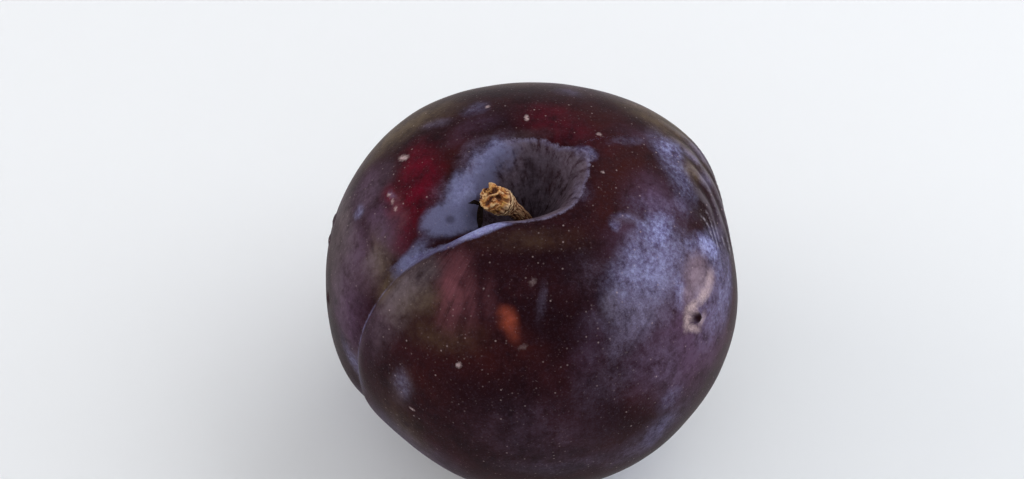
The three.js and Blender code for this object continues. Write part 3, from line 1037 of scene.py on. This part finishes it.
def skin_material(shape, look, middle):
    """Ripe skin: its colours, its wax, painted shade and sheen, lenticels, scars and fine relief.
    """
    shader = Shader("plum_skin", look.dark)
    smooth, coat_with, painted_on = shader.smooth, shader.coat, shader.painted
    at = shader.object_place()
    place = shader.mapping(at, middle, (shape.lean, 0.0, 0.0), (MM, MM, MM))
    polar = painted_on("polar")
    across = painted_on("across")
    coat = painted_on("coat")
    ragged = shader.shaken(place, 0.5, 0.35)

    # Noise from about -1 to 1, in several sizes.
    def flecks(where, scale, detail, roughness=0.68):
        return 4.0 * (shader.grain(where, scale, detail, roughness) - 0.5)

    broad = flecks(place, 0.09, 2.0)
    mottled = flecks(place, 0.4, 5.0)
    patchy = flecks(place, 1.3, 4.0)
    gritty = flecks(place, 2.2, 2.0)
    speckled = flecks(place, 4.5, 2.0)

    # Streaks run from end to end: the place round the axis counts for more than the place along it.
    round_axis = shader.vector("NORMALIZE", shader.vector("MULTIPLY", place, (1.0, 1.0, 0.0)))
    height = shader.number("SeparateXYZ", None, {0: place}, 2)

    def streaks(across_scale, along_scale, detail=3.0):
        drawn = shader.vector("MULTIPLY", round_axis, (across_scale,) * 3)
        lifted = shader.add("CombineXYZ", None, {2: height * along_scale}).outputs[0]
        return flecks(shader.vector("ADD", drawn, lifted), 1.0, detail)

    combed = streaks(30.0, 0.14)
    finely_combed = streaks(80.0, 0.3)

    def laid(name, coarse=0.8, fine=0.4, streaked=0.0):
        """A painted layer with its edges and its inside broken up."""
        return painted_on(name) * (1.0 + coarse * mottled + fine * patchy + streaked * combed)

    ground = 0.42 + 0.35 * broad + 0.4 * mottled + 0.12 * combed + 0.15 * patchy
    coat_with(ground, look.maroon)
    coat_with(laid("shade"), look.dark)
    for name in ("red_brown", "olive", "purple", "crimson"):
        coat_with(laid(name), getattr(look, name))
    coat_with(laid("pink", 0.4, 0.2, 0.55), look.pink)
    coat_with(laid("orange", 0.5, 0.3), look.orange)

    # Wax: thin grey haze, thick blue bloom, the cavity's coat, and the rim of the suture's lip.
    # Haze and bloom also hold painted sheen on the right and painted reflection on the rims.
    haze = laid("haze", 0.42, 0.34, 0.25)
    haze = haze * (1.0 + (0.6 * mottled + 0.35 * patchy) * smooth(haze, 0.4, 0.12))
    sheet = smooth(laid("sheet", 0.4, 0.35), 0.05, 0.7) * smooth(across, 0.7, 0.0)
    # Thick blue wax, partly painted sheen of the key light and painted reflection on the right rim.
    bloom_and_sheen = laid("bloom_and_sheen", 0.5, 0.55)
    funnel = streaks(7.0, 0.5)
    wall = smooth(coat + 0.35 * patchy + 0.15 * speckled, -0.15, 0.35)
    wall = wall * smooth(funnel + 0.5 * mottled, -1.1, 0.3) * smooth(height, 14.0, 19.0)
    rim = smooth(coat + 0.2 * patchy, -0.2, 0.1) * smooth(coat + 0.2 * patchy, 0.9, 0.25)
    beside = across + 0.13 * polar - 6.1 + 0.3 * mottled + 0.25 * patchy
    lip = smooth(beside, -1.8, -1.0) * smooth(beside, 1.1, 0.2)
    lip = lip * smooth(polar, 16.0, 20.0) * smooth(polar + 5.0 * mottled, 52.0, 42.0)
    line = smooth(across + 0.12 * patchy, 0.0, 0.22) * smooth(across + 0.12 * patchy, 0.6, 0.3)
    line = line * smooth(polar, 36.0, 44.0) * smooth(polar, 112.0, 96.0)
    line = line * smooth(mottled, -0.6, 0.3)
    coat_with(wall * (0.5 + 0.22 * patchy + 0.12 * gritty), look.lining)
    lip = lip * (0.4 + 0.55 * smooth(polar, 33.0, 25.0))
    # Wax, with the painted sheen and reflection that the bloom marks carry.
    wax = shader.highest(bloom_and_sheen, rim * wall * 0.22, lip, 0.3 * line)
    haze = haze * (1.0 + 0.35 * speckled + 0.25 * gritty)
    wax = wax * (1.0 + 0.3 * speckled + 0.25 * gritty)
    # Rosy wax on the left, partly painted sheen of the warm light from the left.
    coat_with(laid("dusk", 0.6, 0.4, 0.25), look.dusk)
    waxen = shader.tint(smooth(patchy + 0.5 * mottled, -0.8, 0.8), look.violet, look.bloom_and_sheen)
    coat_with(haze, look.haze)
    coat_with(sheet * (0.86 + 0.14 * speckled), look.sheet)
    coat_with(wax, waxen)
    coat_with(laid("scar", 0.6, 0.5), look.scar)
    coat_with(0.004 + 0.04 * gritty + 0.04 * speckled, look.haze)

    # Folds of dried skin: broad ones, and fine wrinkles with pale crests. The troughs of both get
    # painted shade, and the pale crests are painted highlight.
    phase = painted_on("fold_phase")
    dried = painted_on("folds")
    wrinkled = smooth(painted_on("wrinkles"), 0.1, 0.5)
    fold = shader.math("COSINE", phase)
    wrinkle = shader.math("SINE", 2.2 * phase + 1.1 * patchy)
    crest = smooth(fold + 0.5 * mottled + 0.4 * patchy, -0.3, 1.1)
    coat_with(0.2 * dried * crest, look.dried)
    coat_with(0.5 * dried * smooth(fold + 0.4 * patchy, 0.1, -0.9), look.dark)
    wrinkled = wrinkled * smooth(patchy + 0.5 * gritty, -0.7, 0.7)
    coat_with(0.8 * wrinkled * smooth(wrinkle, 0.3, -0.6), look.dark)
    coat_with(0.7 * wrinkled * smooth(wrinkle, 0.5, 1.0), look.dried)

    # Lenticels: pale corky dots, most of them faint, and a finer sprinkling between them.
    outside = smooth(polar, 14.0, 20.0)

    def dots(scale, channel, edge, inside):
        """One round dot in each cell, and a random number for each of them."""
        cells = shader.add("TexVoronoi", None, {"Vector": place, "Scale": scale})
        chance = shader.number("SeparateColor", None, {0: cells.outputs["Color"]}, channel)
        return smooth(Number(shader, cells.outputs["Distance"]), edge, inside) * outside, chance

    sprinkling, strong = dots(2.1, 1, 0.2, 0.05)
    coat_with(0.22 * strong**4 * sprinkling, look.cork)
    lenticel, faint = dots(1.15, 0, 0.22, 0.06)
    coat_with((0.05 + 0.4 * faint**6) * lenticel, look.cork)
    cork = marks_mask(shader, shape, ragged, "cork") * (0.85 + 0.3 * speckled + 0.3 * gritty)
    coat_with(cork, look.cork)
    # Dark marks, among them painted shade in the scar's hole and along the creases.
    dark = marks_mask(shader, shape, place, "dark")
    coat_with(dark, look.dark)

    covered = shader.math("MINIMUM", wax + haze + sheet + cork, 1.0)
    relief = 0.006 * speckled + 0.012 * patchy * (0.4 + covered) + 0.02 * lenticel + 0.06 * cork
    relief = relief + 0.003 * finely_combed + 0.02 * wax + 0.07 * wrinkled * wrinkle
    return shader.finish(0.38 + 0.3 * covered + 0.04 * speckled, 0.02, relief)


def bark_material(look):
    """Dry bark on the shaft, rings on the collar, and golden torn wood on the swollen end."""
    shader = Shader("dry_bark", look.bark)
    smooth, coat_with = shader.smooth, shader.coat
    at = shader.object_place()
    crack = shader.painted("crack")
    height = shader.painted("height")
    patches = shader.grain(at, 900.0, 3.0, 0.6)
    fine = shader.grain(at, 3600.0, 3.0, 0.7)
    along = shader.painted("along") + 0.12 * (patches - 0.5)
    torn = smooth(along, 0.72, 0.82)
    pale = smooth(along, 0.64, 0.7) * smooth(along, 0.84, 0.76)
    wood = shader.tint(smooth(patches + 0.5 * (fine - 0.5), 0.44, 0.6), look.wood, look.gold)
    coat_with(torn, wood)
    coat_with(0.8 * pale, look.splinter)
    # Painted shade: redder, darker wood beside the cracks.
    crack_shade = smooth(crack + 0.8 * (fine - 0.5), 0.0, 0.5)
    coat_with(0.8 * crack_shade, look.shadowed)
    coat_with(0.6 * torn * smooth(fine, 0.5, 0.4), look.wood)
    # Painted highlight: the pale splinter colour on the raised places.
    raised = smooth(height + 0.6 * (fine - 0.5), 0.08, 0.3)
    coat_with(0.55 * raised, look.splinter)
    # The crevice colour: painted shade down the cracks, and fine dark specks.
    speckled = 0.5 * smooth(fine, 0.46, 0.34)
    hollow = shader.math("MAXIMUM", smooth(crack + 0.6 * (fine - 0.5), 0.35, 0.95), speckled)
    coat_with(0.9 * hollow, look.crevice)
    return shader.finish(0.82 + 0.12 * fine, 0.3, 0.06 * fine - 0.06 * hollow)


def scale_material(look):
    """Thin dried scales, dark and papery."""
    shader = Shader("dried_scale", look.scale)
    fine = shader.grain(shader.object_place(), 2400.0, 3.0, 0.65)
    shader.coat(shader.smooth(fine, 0.45, 0.7), [3.2 * channel for channel in look.scale])
    return shader.finish(0.55 + 0.3 * fine, 0.03, 0.05 * fine)


def floor_material(stage):
    """Plain painted board."""
    shader = Shader("studio_floor", stage.floor_colour)
    fine = shader.grain(shader.object_place(), 600.0, 3.0, 0.6)
    return shader.finish(0.75 + 0.15 * fine, 0.5)


# ---- Stage ----


def add_lamp(name, middle, power):
    """A square soft lamp that points at the fruit's middle."""
    azimuth, elevation, distance, size, tint = LAMPS[name]
    az, el = radians(azimuth), radians(elevation)
    away = Vector((sin(az) * cos(el), -cos(az) * cos(el), sin(el)))
    bpy.ops.object.light_add(type="AREA", location=middle + away * distance)
    lamp = bpy.context.object
    lamp.name = name
    lamp.data.energy = power
    lamp.data.size = size
    lamp.data.color = tint
    lamp.rotation_euler = away.to_track_quat("Z", "Y").to_euler()


class PLUM_OT_stage(Operator):
    """Lay the floor, hang the lamps and set the camera"""

    bl_idname = "plum.stage"
    bl_label = "Stage"

    def execute(self, context):
        stage = context.scene.plum_stage
        middle = fruit_middle(context.scene.plum_fruit)
        bpy.ops.object.select_all(action="DESELECT")
        disc = {"vertices": FLOOR_FACES, "radius": FLOOR_FLAT, "fill_type": "NGON"}
        bpy.ops.mesh.primitive_circle_add(**disc)
        floor = context.object
        floor.name = "floor"
        bpy.ops.object.mode_set(mode="EDIT")
        bpy.ops.mesh.select_mode(type="EDGE")
        bpy.ops.mesh.select_all(action="DESELECT")
        bpy.ops.mesh.select_non_manifold()
        rim = FLOOR_FLAT
        one_step = radians(90 / FLOOR_STEPS)
        for step in range(1, FLOOR_STEPS + 1):
            turned = one_step * step
            wider = FLOOR_FLAT + FLOOR_BEND * sin(turned)
            higher = FLOOR_BEND * (cos(turned - one_step) - cos(turned))
            bpy.ops.mesh.extrude_edges_move(TRANSFORM_OT_translate={"value": (0, 0, higher)})
            wide = wider / rim
            bpy.ops.transform.resize(value=(wide, wide, 1), center_override=(0, 0, 0))
            rim = wider
        bpy.ops.mesh.extrude_edges_move(TRANSFORM_OT_translate={"value": (0, 0, FLOOR_WALL)})
        bpy.ops.mesh.select_all(action="SELECT")
        bpy.ops.mesh.normals_make_consistent(inside=True)
        bpy.ops.object.mode_set(mode="OBJECT")
        bpy.ops.object.shade_smooth_by_angle(angle=radians(30))
        floor.data.materials.append(floor_material(stage))

        world = bpy.data.worlds.new("studio")
        world.use_nodes = True
        background = world.node_tree.nodes["Background"]
        background.inputs["Color"].default_value = rgba(stage.world_colour)
        context.scene.world = world
        add_lamp("key_light", middle, stage.key_power)
        add_lamp("fill_light", middle, stage.fill_power)

        el = stage.elevation
        back = Vector((0, -cos(el), sin(el)))
        up = Vector((0, sin(el), cos(el)))
        look = -back - Vector((1, 0, 0)) * tan(stage.pan) + up * tan(stage.tilt)
        bpy.ops.object.camera_add(location=middle + back * stage.distance)
        camera = context.object
        camera.name = "camera"
        camera.data.lens = stage.focal_length
        camera.data.sensor_width = stage.sensor_width
        camera.data.clip_start = stage.clip_start
        camera.rotation_euler = look.to_track_quat("-Z", "Y").to_euler()
        context.scene.camera = camera
        context.scene.view_settings.view_transform = "Standard"
        return {"FINISHED"}


class PLUM_PT_panel(Panel):
    """One button for each operator"""

    bl_label = "Plum"
    bl_idname = "PLUM_PT_panel"
    bl_space_type = "VIEW_3D"
    bl_region_type = "UI"
    bl_category = "Plum"

    def draw(self, context):
        for operator in OPERATORS:
            self.layout.operator(operator.bl_idname)


OPERATORS = (PLUM_OT_fruit, PLUM_OT_stalk, PLUM_OT_scales, PLUM_OT_stage)
GROUPS = {
    "plum_fruit": FruitShape,
    "plum_skin": SkinLook,
    "plum_stalk": StalkShape,
    "plum_stage": StageLook,
}


def register():
    for group in GROUPS.values():
        bpy.utils.register_class(group)
    for name, group in GROUPS.items():
        setattr(bpy.types.Scene, name, PointerProperty(type=group))
    for operator in OPERATORS:
        bpy.utils.register_class(operator)
    bpy.utils.register_class(PLUM_PT_panel)


def unregister():
    bpy.utils.unregister_class(PLUM_PT_panel)
    for operator in reversed(OPERATORS):
        bpy.utils.unregister_class(operator)
    for name in GROUPS:
        delattr(bpy.types.Scene, name)
    for group in reversed(GROUPS.values()):
        bpy.utils.unregister_class(group)


def main():
    register()
    bpy.ops.plum.fruit()
    bpy.ops.plum.stalk()
    bpy.ops.plum.scales()
    bpy.ops.plum.stage()


if __name__ == "__main__":
    main()
